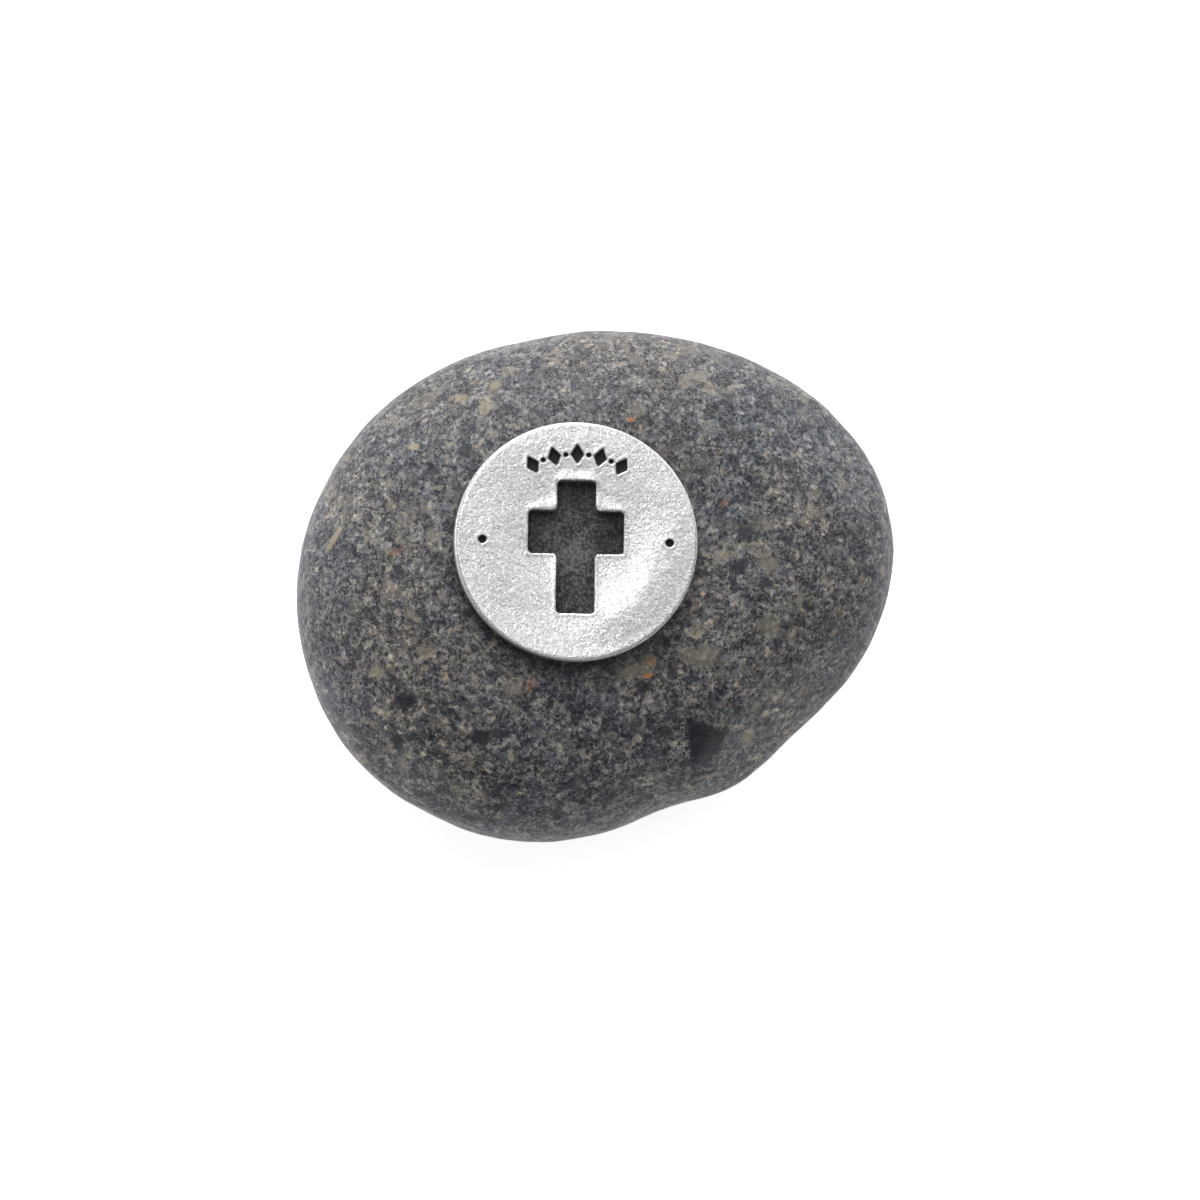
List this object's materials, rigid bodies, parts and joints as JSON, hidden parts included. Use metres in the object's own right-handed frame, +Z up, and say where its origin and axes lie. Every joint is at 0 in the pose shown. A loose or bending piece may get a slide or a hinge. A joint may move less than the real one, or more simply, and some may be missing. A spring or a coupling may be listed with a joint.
{
  "type": "river pebble with a cast pewter cross token",
  "caption": "Palm-sized grey river pebble with a round cast pewter token, pierced by a cross, bonded near its crown.",
  "frame": {"origin": "middle of the bounding box's bottom face, on the surface that the pebble rests on", "axes": "+Z up, +X to the right of the token's cross along the pebble's length, +Y towards the top of the cross"},
  "size_m": [0.0638, 0.0546, 0.0311],
  "materials": {
    "stone": "water-worn fine sandstone texture, satin, dark grey with lighter and darker grains",
    "pewter": "cast pewter, softly rippled satin, blackened in the punch marks",
    "adhesive": "cured epoxy, dark and smooth"
  },
  "bodies": {
    "root": {"pebble": "stone", "token": "pewter", "adhesive_bed": "adhesive"}
  },
  "joints": []
}
